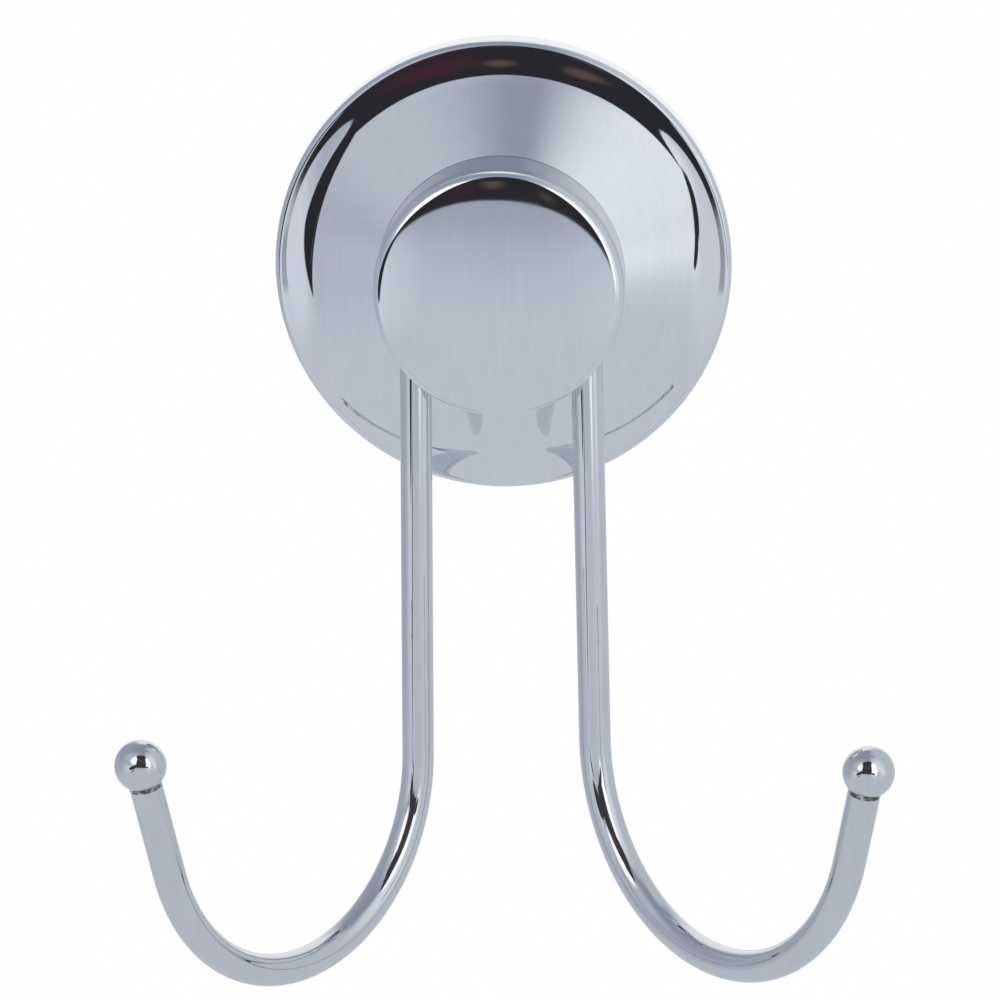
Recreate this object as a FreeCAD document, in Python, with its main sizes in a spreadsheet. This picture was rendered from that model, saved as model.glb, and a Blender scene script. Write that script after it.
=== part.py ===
import FreeCAD, Part
import math
import os
import Sketcher

# Double robe hook: a bell-shaped wall flange with a round boss, and one bent rod
# that leaves the boss as two shanks and ends in two forward hooks with ball tips.
# The wall is the plane Y = 0, the hook stands out along -Y and +Z is up.
# A depth is a distance out from the wall. Lengths are in millimetres, angles in degrees.

os.makedirs("parts", exist_ok=True)
doc = FreeCAD.newDocument("double_robe_hook")
sheet = doc.addObject("Spreadsheet::Sheet", "sizes")
Vector = FreeCAD.Vector
X_AXIS = Vector(1, 0, 0)
Y_AXIS = Vector(0, 1, 0)
SAME_PLACE = 0.01
MOST_SHELL_SHARE = 0.5
driving_sizes = {
    # Wall bracket
    "bracket_rim_gap": 2.0,
    "bracket_bevel": 2.6,
    "bracket_thickness": 3.0,
    "wall_hole_spacing": 42.0,
    "wall_hole_diameter": 4.6,
    "wall_hole_sink": 1.9,

    # Flange, a spun bell
    "flange_diameter": 75.0,
    "flange_wall": 1.0,
    "skirt_depth": 5.63,
    "shoulder_radius": 1.3,
    "brim_width": 4.4,
    "brim_angle": 8.0,
    "cone_angle": 32.0,
    "hollow_radius": 12.5,
    "hollow_most_share": 0.9,
    "seat_margin": 0.1,

    # Boss, a casting that the wire lies in
    "boss_side": 3.8,
    "boss_draft": 0.15,
    "boss_wall": 1.6,
    "boss_floor": 0.95,
    "bed_drop": 0.8,
    "post_wire_gap": 1.65,
    "post_gap": 0.3,
    "spigot_step": 1.5,
    "spigot_length": 1.9,
    "wire_gap": 0.05,
    "slot_margin": 0.8,

    # Hook wire
    "wire_diameter": 5.2,
    "shank_spacing": 27.5,
    "lean_angle": 3.46,
    "left_splay_angle": -0.33,
    "right_splay_angle": 1.53,
    "left_shank_length": 78.15,
    "right_shank_length": 75.8,
    "left_bend_radius": 30.0,
    "right_bend_radius": 31.8,
    "left_swing_angle": 51.0,
    "right_swing_angle": 49.0,
    "left_turn_angle": 161.95,
    "right_turn_angle": 162.8,
    "left_tip_length": 19.95,
    "right_tip_length": 15.95,
    "ball_diameter": 8.2,
    "ball_socket_rest": 1.5,

    # Cap
    "cap_lip_step": 0.35,
    "cap_draft_angle": 5.5,
    "cap_side_depth": 3.9,
    "cap_edge_radius": 1.6,
    "cap_crown": 1.8,
    "cap_wall": 1.3,
    "cap_seam": 0.25,

    # Small fixings
    "clamp_thickness": 1.5,
    "clamp_height": 18.0,
    "clamp_rim_gap": 0.5,
    "screw_diameter": 4.0,
    "screw_head_diameter": 7.4,
    "screw_head_height": 2.2,
    "screw_head_rounding": 0.99,
    "screw_fit": 0.03,
    "screw_clearance": 0.25,
    "screw_grip": 4.6,
    "recess_width": 0.9,
    "recess_span": 3.6,
    "recess_depth": 1.3,
    "seat_screw_spacing": 11.0,
    "washer_thickness": 0.9,
    "washer_margin": 0.8,
    "lug_angle": 17.0,
    "lug_thickness": 1.2,
    "lug_fit": 0.1,
    "lug_wall_gap": 0.4,
    "grub_diameter": 3.0,
    "grub_point_height": 1.5,
    "grub_sunk": 0.3,
    "grub_setback": 0.6,
    "grub_key_size": 1.5,
    "grub_key_depth": 1.2,
    "bush_wall": 0.9,
    "bush_gap": 0.3,
}

# Sizes that follow from the driving ones
following_sizes = {
    "flange_radius": "=flange_diameter / 2",
    "skirt_inner_radius": "=flange_radius - flange_wall",
    "wire_radius": "=wire_diameter / 2",
    "hairpin_radius": "=shank_spacing / 2",
    "hairpin_reach": "=hairpin_radius + wire_radius",
    "lean_slope": "=tan(lean_angle)",
    "boss_base_radius": "=hairpin_reach + boss_side",
    "boss_rim_radius": "=boss_base_radius - boss_draft",
    "seat_radius": "=boss_base_radius + seat_margin",
    "foot_radius": "=flange_radius - brim_width",
    "foot_depth": "=skirt_depth + brim_width * tan(brim_angle)",
    "brim_length": "=brim_width / cos(brim_angle)",
    "hollow_room": "=hollow_most_share * (brim_length - shoulder_radius) / tan((cone_angle - brim_angle) / 2)",
    "hollow_fillet": "=min(hollow_radius; hollow_room)",
    "seat_depth": "=foot_depth + (foot_radius - seat_radius) * tan(cone_angle)",
    "wire_depth": "=seat_depth + boss_floor + wire_radius + hairpin_reach * lean_slope",
    "bed_depth": "=wire_depth - bed_drop",
    "seam_depth": "=wire_depth + wire_radius + boss_rim_radius * lean_slope + slot_margin",
    "spigot_radius": "=boss_rim_radius - spigot_step",
    "spigot_depth": "=seam_depth + spigot_length",
    "bore_radius": "=spigot_radius - boss_wall",
    "post_radius": "=hairpin_radius - wire_radius - post_wire_gap",
    "post_depth": "=wire_depth + wire_radius - post_radius * lean_slope - post_gap",
    "screw_radius": "=screw_diameter / 2",
    "washer_depth": "=seat_depth - flange_wall - washer_thickness",
    "seat_thread_depth": "=washer_depth + screw_grip",
    "cap_lip_depth": "=seam_depth + cap_seam",
    "cap_face_depth": "=cap_lip_depth + cap_side_depth",
    "cap_lip_radius": "=boss_rim_radius + cap_lip_step",
    "cap_face_radius": "=cap_lip_radius - cap_side_depth * tan(cap_draft_angle)",
    "cap_bore_radius": "=spigot_radius + screw_fit",
    "bracket_radius": "=skirt_inner_radius - bracket_rim_gap",
    "grub_depth": "=bracket_thickness - grub_setback",
    "grub_contact": "=bracket_radius - bracket_bevel * (1 - grub_depth / bracket_thickness)",
    "bush_radius": "=grub_diameter / 2 + bush_wall",
    "bush_inner": "=bracket_radius + bush_gap",
}

for number, (alias, content) in enumerate({**driving_sizes, **following_sizes}.items(), 1):
    sheet.set("A%d" % number, str(content))
    sheet.setAlias("A%d" % number, alias)
doc.recompute()


def value(alias):
    """Read a size from the sheet."""
    return float(sheet.get(alias))


def evaluate(holder, text):
    """Work out an expression as a plain number."""
    result = holder.evalExpression(text)
    return float(getattr(result, "Value", result))


def add_body(label):
    body = doc.addObject("PartDesign::Body", label)
    body.Label = label
    return body


def add_sketch(body, name, role, depth=None):
    """Attach a sketch to a plane of its body's origin, moved out of the plane by a depth."""
    sketch = body.newObject("Sketcher::SketchObject", name)
    plane = next(item for item in body.Origin.OriginFeatures if item.Role == role)
    sketch.AttachmentSupport = (plane, [""])
    sketch.MapMode = "FlatFace"
    if depth:
        sketch.setExpression("AttachmentOffset.Base.z", depth)
    return sketch


def section_sketch(body, name):
    """Half section of a turned piece: radius to the right, depth from the wall upwards."""
    sketch = add_sketch(body, name, "XY_Plane")
    sketch.AttachmentOffset = FreeCAD.Placement(Vector(), FreeCAD.Rotation(X_AXIS, 180))
    return sketch


def bind_point(sketch, curve, end, across, along):
    """Hold a point of a curve at two coordinates given as expressions."""
    for kind, text in (("DistanceX", across), ("DistanceY", along)):
        constraint = Sketcher.Constraint(kind, curve, end, evaluate(sketch, text))
        number = sketch.addConstraint(constraint)
        sketch.setExpression("Constraints[%d]" % number, text)


def draw_outline(sketch, corners):
    """Closed outline of straight lines through corners given as pairs of expressions."""
    points = [Vector(evaluate(sketch, x), evaluate(sketch, y), 0) for x, y in corners]
    count = len(points)
    for index in range(count):
        sketch.addGeometry(Part.LineSegment(points[index], points[(index + 1) % count]), False)
    for index in range(count):
        following = (index + 1) % count
        sketch.addConstraint(Sketcher.Constraint("Coincident", index, 2, following, 1))
    for index, (across, along) in enumerate(corners):
        bind_point(sketch, index, 1, across, along)


def draw_circle(sketch, radius, across="0", along="0"):
    """Circle with its radius and centre given as expressions."""
    centre = Vector(evaluate(sketch, across), evaluate(sketch, along), 0)
    circle = Part.Circle(centre, Vector(0, 0, 1), evaluate(sketch, radius))
    curve = sketch.addGeometry(circle, False)
    number = sketch.addConstraint(Sketcher.Constraint("Radius", curve, circle.Radius))
    sketch.setExpression("Constraints[%d]" % number, radius)
    bind_point(sketch, curve, 3, across, along)


def revolve(body, sketch, angle=None):
    """Turn a half section about the axis that stands out of the wall."""
    feature = body.newObject("PartDesign::Revolution", sketch.Name + "_turned")
    feature.Profile = sketch
    feature.ReferenceAxis = (sketch, ["V_Axis"])
    feature.Angle = 360
    if angle:
        feature.Midplane = True
        feature.setExpression("Angle", angle)
    sketch.Visibility = False
    doc.recompute()
    return feature


def cut_pocket(body, sketch, length=None, forward=False):
    """Cut a sketch towards the wall, or away from it, and make sure that it cut something."""
    before = body.Shape.Volume
    feature = body.newObject("PartDesign::Pocket", sketch.Name + "_cut")
    feature.Profile = sketch
    feature.Reversed = forward
    if length:
        feature.setExpression("Length", length)
    else:
        feature.Type = "ThroughAll"
        feature.Midplane = True
    sketch.Visibility = False
    doc.recompute()
    if body.Shape.Volume >= before:
        raise RuntimeError(sketch.Name + " cut nothing")
    return feature


def ring_edge(shape, radius, depth):
    """Name of the circular edge of a turned piece at a radius and depth."""
    for number, edge in enumerate(shape.Edges, 1):
        curve = edge.Curve
        if not isinstance(curve, Part.Circle):
            continue
        if abs(curve.Radius - radius) < SAME_PLACE and abs(curve.Center.y + depth) < SAME_PLACE:
            return "Edge%d" % number
    raise RuntimeError("no edge at radius %.2f, depth %.2f" % (radius, depth))


def round_edge(body, radius, depth, amount):
    """Fillet one circular edge of a turned piece."""
    base = body.Tip
    feature = body.newObject("PartDesign::Fillet", body.Name + "_round")
    feature.Base = (base, [ring_edge(base.Shape, radius, depth)])
    feature.setExpression("Radius", amount)
    doc.recompute()
    return feature


def add_boolean(kind, label, base, tool):
    feature = doc.addObject(kind, label)
    feature.Label = label
    feature.Base = base
    feature.Tool = tool
    return feature


def add_cylinder(name, radius, height):
    cylinder = doc.addObject("Part::Cylinder", name)
    cylinder.setExpression("Radius", radius)
    cylinder.setExpression("Height", height)
    return cylinder


def make_wall_bracket():
    """Round plate with an undercut rim and two countersunk wall holes."""
    body = add_body("wall_bracket")
    section = section_sketch(body, "bracket_section")
    back = "sizes.bracket_radius - sizes.bracket_bevel"
    thickness = "sizes.bracket_thickness"
    draw_outline(section, [("0", "0"), (back, "0"), ("sizes.bracket_radius", thickness), ("0", thickness)])
    revolve(body, section)
    holes = add_sketch(body, "bracket_holes", "XZ_Plane", thickness)
    for place in ("sizes.wall_hole_spacing / 2", "-sizes.wall_hole_spacing / 2"):
        draw_circle(holes, "sizes.wall_hole_diameter / 2", place)
    cut_pocket(body, holes)
    base = body.Tip
    rims = []
    for number, edge in enumerate(base.Shape.Edges, 1):
        on_face = abs(edge.CenterOfMass.y + value("bracket_thickness")) < SAME_PLACE
        if on_face and abs(edge.CenterOfMass.x) > SAME_PLACE:
            rims.append("Edge%d" % number)
    sinks = body.newObject("PartDesign::Chamfer", "bracket_sinks")
    sinks.Base = (base, rims)
    sinks.setExpression("Size", "sizes.wall_hole_sink")
    doc.recompute()
    return body


def make_flange():
    """Spun bell: short skirt, tight shoulder, narrow brim, hollow sweep up to a cone and a flat seat."""
    body = add_body("flange")
    section = section_sketch(body, "flange_section")
    corners = [("0", "0"), ("sizes.flange_radius", "0"), ("sizes.flange_radius", "sizes.skirt_depth")]
    corners += [("sizes.foot_radius", "sizes.foot_depth"), ("sizes.seat_radius", "sizes.seat_depth")]
    corners += [("0", "sizes.seat_depth")]
    draw_outline(section, corners)
    revolve(body, section)
    round_edge(body, value("foot_radius"), value("foot_depth"), "sizes.hollow_fillet")
    round_edge(body, value("flange_radius"), value("skirt_depth"), "sizes.shoulder_radius")
    base = body.Tip
    backs = []
    for number, face in enumerate(base.Shape.Faces, 1):
        if abs(face.BoundBox.YMax) < SAME_PLACE and abs(face.BoundBox.YMin) < SAME_PLACE:
            backs.append("Face%d" % number)
    shell = body.newObject("PartDesign::Thickness", "flange_shell")
    shell.Base = (base, backs)
    shell.Reversed = True
    shell.Join = "Arc"
    shell.setExpression("Value", "sizes.flange_wall")
    doc.recompute()
    if shell.Shape.Volume > MOST_SHELL_SHARE * base.Shape.Volume:
        raise RuntimeError("the flange is not hollow")
    holes = add_sketch(body, "seat_holes", "XZ_Plane", "sizes.seat_depth")
    for place in ("sizes.seat_screw_spacing / 2", "-sizes.seat_screw_spacing / 2"):
        draw_circle(holes, "sizes.screw_radius + sizes.screw_clearance", place)
    cut_pocket(body, holes)
    key_hole = add_sketch(body, "grub_hole", "XY_Plane")
    draw_circle(key_hole, "sizes.grub_diameter / 2 + sizes.screw_fit", "0", "-sizes.grub_depth")
    cut_pocket(body, key_hole, "2 * sizes.flange_radius")
    return body


def make_top_lug():
    """Curved lug at the top of the skirt that hooks behind the bracket's undercut rim."""
    body = add_body("top_lug")
    section = section_sketch(body, "lug_section")
    near = "sizes.lug_wall_gap"
    far = "sizes.lug_wall_gap + sizes.lug_thickness"
    rim_slope = "sizes.bracket_bevel / sizes.bracket_thickness"
    seat = "sizes.bracket_radius - sizes.bracket_bevel + sizes.lug_fit"
    inner_near = "%s + (%s) * %s" % (seat, near, rim_slope)
    inner_far = "%s + (%s) * %s" % (seat, far, rim_slope)
    outer = "sizes.skirt_inner_radius"
    draw_outline(section, [(inner_near, near), (outer, near), (outer, far), (inner_far, far)])
    revolve(body, section, "sizes.lug_angle")
    body.Placement = FreeCAD.Placement(Vector(), FreeCAD.Rotation(Y_AXIS, -90))
    return body


def make_grub_parts():
    """Threaded bush inside the bottom of the skirt, and the pointed screw in it."""
    down = FreeCAD.Rotation(X_AXIS, 180)
    blank = add_cylinder("bush_blank", "sizes.bush_radius", "sizes.flange_radius - sizes.bush_inner")
    blank.Placement.Rotation = down
    blank.setExpression("Placement.Base.y", "-sizes.grub_depth")
    blank.setExpression("Placement.Base.z", "-sizes.bush_inner")
    inside = add_cylinder("skirt_inside", "sizes.skirt_inner_radius", "sizes.skirt_depth")
    inside.Placement.Rotation = FreeCAD.Rotation(X_AXIS, 90)
    fitted = add_boolean("Part::Common", "bush_fitted", blank, inside)
    thread = add_cylinder("bush_thread", "sizes.grub_diameter / 2 + sizes.screw_fit", "sizes.flange_radius")
    thread.Placement.Rotation = down
    thread.setExpression("Placement.Base.y", "-sizes.grub_depth")
    bush = add_boolean("Part::Cut", "grub_bush", fitted, thread)

    length = "sizes.flange_radius - sizes.grub_sunk - sizes.grub_contact - sizes.grub_point_height"
    stem = add_cylinder("grub_stem", "sizes.grub_diameter / 2", length)
    stem.Placement.Rotation = down
    stem.setExpression("Placement.Base.y", "-sizes.grub_depth")
    stem.setExpression("Placement.Base.z", "-sizes.grub_contact - sizes.grub_point_height")
    point = doc.addObject("Part::Cone", "grub_point")
    point.Radius1 = 0
    point.setExpression("Radius2", "sizes.grub_diameter / 2")
    point.setExpression("Height", "sizes.grub_point_height")
    point.Placement.Rotation = down
    point.setExpression("Placement.Base.y", "-sizes.grub_depth")
    point.setExpression("Placement.Base.z", "-sizes.grub_contact")
    blank_screw = add_boolean("Part::Fuse", "grub_blank", stem, point)
    key = doc.addObject("Part::Prism", "grub_key")
    key.Polygon = 6
    key.setExpression("Circumradius", "sizes.grub_key_size / sqrt(3)")
    key.setExpression("Height", "sizes.grub_key_depth + sizes.grub_sunk")
    key.setExpression("Placement.Base.y", "-sizes.grub_depth")
    key.setExpression("Placement.Base.z", "-sizes.flange_radius")
    screw = add_boolean("Part::Cut", "grub_screw", blank_screw, key)
    return [bush, screw]


def hook_plane(side, down):
    """Direction from a shank towards its hook's tip, square to the shank."""
    swing = math.radians(value(side + "_swing_angle"))
    sign = -1 if side == "left" else 1
    outward = Vector(sign * math.cos(swing), -math.sin(swing), 0)
    outward = outward - down * outward.dot(down)
    return outward.normalize()


def arm_points(side):
    """Key points of one arm, from the hairpin bend to the ball at its tip."""
    sign = -1 if side == "left" else 1
    splay = math.radians(value(side + "_splay_angle"))
    lean = math.radians(value("lean_angle"))
    rise = Vector(0, math.sin(lean), math.cos(lean))
    centre = Vector(0, -value("wire_depth"), 0)
    radial = X_AXIS * (sign * math.cos(splay)) + rise * math.sin(splay)
    down = X_AXIS * (sign * math.sin(splay)) - rise * math.cos(splay)
    top = centre + radial * value("hairpin_radius")
    bend_start = top + down * value(side + "_shank_length")
    outward = hook_plane(side, down)
    radius = value(side + "_bend_radius")
    turn = math.radians(value(side + "_turn_angle"))
    bend_centre = bend_start + outward * radius

    def on_bend(angle):
        return bend_centre - outward * (radius * math.cos(angle)) + down * (radius * math.sin(angle))

    tip_way = outward * math.sin(turn) + down * math.cos(turn)
    ball = on_bend(turn) + tip_way * value(side + "_tip_length")
    return {
        "top": top,
        "bend_start": bend_start,
        "bend_middle": on_bend(turn / 2),
        "bend_end": on_bend(turn),
        "tip_way": tip_way,
        "ball": ball,
        "rod_end": ball - tip_way * value("ball_socket_rest"),
        "down": down,
        "crown": centre + rise * value("hairpin_radius"),
    }


def line(start, end):
    return Part.LineSegment(start, end).toShape()


def arc(start, middle, end):
    return Part.Arc(start, middle, end).toShape()


def make_hook_wire():
    """One round rod: tip, forward bend, shank, hairpin, shank, forward bend, tip."""
    left = arm_points("left")
    right = arm_points("right")
    edges = [line(left["rod_end"], left["bend_end"])]
    edges.append(arc(left["bend_end"], left["bend_middle"], left["bend_start"]))
    edges.append(line(left["bend_start"], left["top"]))
    edges.append(arc(left["top"], left["crown"], right["top"]))
    edges.append(line(right["top"], right["bend_start"]))
    edges.append(arc(right["bend_start"], right["bend_middle"], right["bend_end"]))
    edges.append(line(right["bend_end"], right["rod_end"]))
    path = doc.addObject("Part::Feature", "wire_path")
    path.Shape = Part.Wire(edges)
    circle = doc.addObject("Part::Circle", "wire_circle")
    circle.setExpression("Radius", "sizes.wire_radius")
    circle.Placement = FreeCAD.Placement(left["rod_end"], FreeCAD.Rotation(Vector(0, 0, 1), left["tip_way"]))
    wire = doc.addObject("Part::Sweep", "hook_wire")
    wire.Label = "hook_wire"
    wire.Sections = [circle]
    wire.Spine = (path, ["Edge%d" % number for number in range(1, len(edges) + 1)])
    wire.Solid = True
    wire.Frenet = False
    return wire


def make_ball(side):
    """Ball with a blind socket that the rod's end is brazed into."""
    arm = arm_points(side)
    away = FreeCAD.Rotation(Vector(0, 0, -1), arm["tip_way"])
    sphere = doc.addObject("Part::Sphere", "ball_sphere_" + side)
    sphere.setExpression("Radius", "sizes.ball_diameter / 2")
    sphere.Placement = FreeCAD.Placement(arm["ball"], away)
    socket = add_cylinder("ball_socket_" + side, "sizes.wire_radius", "sizes.ball_diameter")
    socket.Placement = FreeCAD.Placement(arm["rod_end"], away)
    return add_boolean("Part::Cut", "ball_" + side, sphere, socket)


def make_boss():
    """Cast cup with a bed for the hairpin, a post inside it and a spigot for the cap."""
    body = add_body("boss_blank")
    section = section_sketch(body, "boss_section")
    corners = [("0", "sizes.seat_depth"), ("sizes.boss_base_radius", "sizes.seat_depth")]
    corners += [("sizes.boss_rim_radius", "sizes.seam_depth"), ("sizes.spigot_radius", "sizes.seam_depth")]
    corners += [("sizes.spigot_radius", "sizes.spigot_depth"), ("sizes.bore_radius", "sizes.spigot_depth")]
    corners += [("sizes.bore_radius", "sizes.bed_depth"), ("sizes.post_radius", "sizes.bed_depth")]
    corners += [("sizes.post_radius", "sizes.post_depth"), ("0", "sizes.post_depth")]
    draw_outline(section, corners)
    revolve(body, section)
    threads = add_sketch(body, "seat_threads", "XZ_Plane", "sizes.seat_depth")
    for place in ("sizes.seat_screw_spacing / 2", "-sizes.seat_screw_spacing / 2"):
        draw_circle(threads, "sizes.screw_radius + sizes.screw_fit", place)
    cut_pocket(body, threads, "sizes.seat_thread_depth - sizes.seat_depth + sizes.screw_clearance", forward=True)
    thread_length = "sizes.screw_grip + sizes.screw_clearance"
    thread = add_cylinder("clamp_thread", "sizes.screw_radius + sizes.screw_fit", thread_length)
    thread_foot = value("clamp_thickness") - value("screw_grip") - value("screw_clearance")
    place_on_wire(thread, value("wire_radius") + thread_foot)
    threaded = add_boolean("Part::Cut", "boss_threaded", body, thread)

    radius = value("wire_radius") + value("wire_gap")
    left = arm_points("left")
    right = arm_points("right")
    reach = 2 * value("boss_base_radius")
    left_foot = left["top"] + left["down"] * reach
    right_foot = right["top"] + right["down"] * reach
    crown = arc(left["top"], left["crown"], right["top"])
    path = Part.Wire([line(left_foot, left["top"]), crown, line(right["top"], right_foot)])
    mouth = Part.Wire([Part.Circle(left_foot, left["down"], radius).toShape()])
    bed = path.makePipeShell([mouth], True, False)
    lean = math.radians(value("lean_angle"))
    forward = Vector(0, -math.cos(lean), math.sin(lean))
    slot = path.makeOffset2D(radius, 0, True, False, False).extrude(forward * value("flange_radius"))
    groove = doc.addObject("Part::Feature", "wire_groove")
    groove.Shape = bed.fuse(slot)
    return add_boolean("Part::Cut", "boss", threaded, groove)


def make_wire_clamp():
    """Disc with two flats that lies across both shanks and holds them in the bed."""
    disc = add_cylinder("clamp_disc", "sizes.bore_radius - sizes.clamp_rim_gap", "sizes.clamp_thickness")
    flats = doc.addObject("Part::Box", "clamp_flats")
    flats.setExpression("Length", "2 * sizes.bore_radius")
    flats.setExpression("Width", "sizes.clamp_height")
    flats.setExpression("Height", "sizes.clamp_thickness")
    flats.setExpression("Placement.Base.x", "-sizes.bore_radius")
    flats.setExpression("Placement.Base.y", "-sizes.clamp_height / 2")
    plate = add_boolean("Part::Common", "clamp_plate", disc, flats)
    hole = add_cylinder("clamp_hole", "sizes.screw_radius + sizes.screw_clearance", "sizes.clamp_thickness")
    clamp = add_boolean("Part::Cut", "wire_clamp", plate, hole)
    place_on_wire(clamp, value("wire_radius"))
    return clamp


def place_on_wire(piece, height):
    """Put a piece square to the leaning plane of the shanks, at a height above the rod's middle."""
    lean = math.radians(value("lean_angle"))
    forward = Vector(0, -math.cos(lean), math.sin(lean))
    base = Vector(0, -value("wire_depth"), 0) + forward * height
    piece.Placement = FreeCAD.Placement(base, FreeCAD.Rotation(Vector(0, 0, 1), forward))


def make_screw(label):
    """Pan-head screw with a cross recess, pointing along -Z with the head's seat at the origin."""
    stem = add_cylinder(label + "_stem", "sizes.screw_radius", "sizes.screw_grip")
    stem.setExpression("Placement.Base.z", "-sizes.screw_grip")
    head = add_cylinder(label + "_head", "sizes.screw_head_diameter / 2", "sizes.screw_head_height")
    doc.recompute()
    rounded = doc.addObject("Part::Fillet", label + "_crown")
    rounded.Base = head
    amount = value("screw_head_rounding")
    top = value("screw_head_height")
    for number, edge in enumerate(head.Shape.Edges, 1):
        if isinstance(edge.Curve, Part.Circle) and abs(edge.Curve.Center.z - top) < SAME_PLACE:
            rounded.Edges = [(number, amount, amount)]
    blank = add_boolean("Part::Fuse", label + "_blank", rounded, stem)
    bars = []
    for number, (long_side, short_side) in enumerate((("Length", "Width"), ("Width", "Length"))):
        bar = doc.addObject("Part::Box", "%s_bar_%d" % (label, number))
        bar.setExpression(long_side, "sizes.recess_span")
        bar.setExpression(short_side, "sizes.recess_width")
        bar.setExpression("Height", "sizes.recess_depth")
        bar.setExpression("Placement.Base.x", "-.Length / 2")
        bar.setExpression("Placement.Base.y", "-.Width / 2")
        bar.setExpression("Placement.Base.z", "sizes.screw_head_height - sizes.recess_depth")
        bars.append(bar)
    cross = add_boolean("Part::Fuse", label + "_cross", bars[0], bars[1])
    return add_boolean("Part::Cut", label, blank, cross)


def make_clamp_screw():
    screw = make_screw("clamp_screw")
    place_on_wire(screw, value("wire_radius") + value("clamp_thickness"))
    return screw


def make_seat_fixings():
    """Two screws and washers behind the flange that draw the boss onto its seat."""
    groups = {"seat_screws": [], "seat_washers": []}
    back = FreeCAD.Rotation(X_AXIS, -90)
    for number, sign in enumerate((-1, 1), 1):
        across = sign * value("seat_screw_spacing") / 2
        screw = make_screw("seat_screw_%d" % number)
        screw.Placement = FreeCAD.Placement(Vector(across, -value("washer_depth"), 0), back)
        groups["seat_screws"].append(screw)
        outer = add_cylinder("washer_%d_rim" % number,
                             "sizes.screw_head_diameter / 2 + sizes.washer_margin", "sizes.washer_thickness")
        inner = add_cylinder("washer_%d_eye" % number,
                             "sizes.screw_radius + sizes.screw_clearance", "sizes.washer_thickness")
        washer = add_boolean("Part::Cut", "seat_washer_%d" % number, outer, inner)
        depth = value("washer_depth") + value("washer_thickness")
        washer.Placement = FreeCAD.Placement(Vector(across, -depth, 0), back)
        groups["seat_washers"].append(washer)
    pieces = []
    for label, members in groups.items():
        group = doc.addObject("Part::Compound", label)
        group.Label = label
        group.Links = members
        pieces.append(group)
    return pieces


def make_cap():
    """Shallow pressed cap: a drafted side, a rounded edge and a slightly crowned face."""
    body = add_body("cap")
    section = section_sketch(body, "cap_section")
    lip = "sizes.cap_lip_radius"
    roof = "sizes.cap_face_depth - sizes.cap_wall"
    corners = [("0", roof), ("sizes.cap_bore_radius", roof), ("sizes.cap_bore_radius", "sizes.cap_lip_depth")]
    corners += [(lip, "sizes.cap_lip_depth"), ("sizes.cap_face_radius", "sizes.cap_face_depth")]
    corners += [("0", "sizes.cap_face_depth + sizes.cap_crown")]
    points = [Vector(evaluate(section, x), evaluate(section, y), 0) for x, y in corners]
    for start, end in zip(points[:4], points[1:5]):
        section.addGeometry(Part.LineSegment(start, end), False)
    rim, middle = points[4], points[5]
    crown_radius = (rim.x ** 2 + (middle.y - rim.y) ** 2) / (2 * (middle.y - rim.y))
    half_angle = math.asin(rim.x / crown_radius)
    hub = Vector(0, middle.y - crown_radius, 0)
    circle = Part.Circle(hub, Vector(0, 0, 1), crown_radius)
    section.addGeometry(Part.ArcOfCircle(circle, math.pi / 2 - half_angle, math.pi / 2), False)
    section.addGeometry(Part.LineSegment(middle, points[0]), False)
    for first in range(3):
        section.addConstraint(Sketcher.Constraint("Coincident", first, 2, first + 1, 1))
    section.addConstraint(Sketcher.Constraint("Coincident", 3, 2, 4, 1))
    section.addConstraint(Sketcher.Constraint("Coincident", 4, 2, 5, 1))
    section.addConstraint(Sketcher.Constraint("Coincident", 5, 2, 0, 1))
    section.addConstraint(Sketcher.Constraint("PointOnObject", 4, 3, -2))
    for curve, (across, along) in enumerate(corners[:5]):
        bind_point(section, curve, 1, across, along)
    bind_point(section, 5, 1, *corners[5])
    revolve(body, section)
    round_edge(body, value("cap_face_radius"), value("cap_face_depth"), "sizes.cap_edge_radius")
    return body


pieces = [make_wall_bracket(), make_flange(), make_top_lug()]
pieces += make_grub_parts()
pieces += [make_boss(), make_wire_clamp(), make_clamp_screw()]
pieces += make_seat_fixings()
pieces += [make_hook_wire(), make_ball("left"), make_ball("right"), make_cap()]
doc.recompute()

for item in doc.Objects:
    if "Invalid" in item.State or "Error" in item.State:
        raise RuntimeError("%s failed: %s" % (item.Name, item.State))
for piece in pieces:
    shape = piece.Shape
    if shape.isNull() or not shape.isValid():
        raise RuntimeError(piece.Label + " has no valid shape")
for piece in pieces:
    piece.Shape.exportStep("parts/%s.step" % piece.Label)
    print("%-14s %9.1f mm3, %d solids" % (piece.Label, piece.Shape.Volume, len(piece.Shape.Solids)))
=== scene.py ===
"""Double robe hook in polished chrome: the looks of every piece, and the studio around it.

Lengths are in metres unless a name says otherwise. The wall is the plane y = 0, the hook
stands out along -y, and a depth is a distance out from the wall.
"""

import math

import bmesh
import bpy
from mathutils import Matrix, Vector


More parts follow.
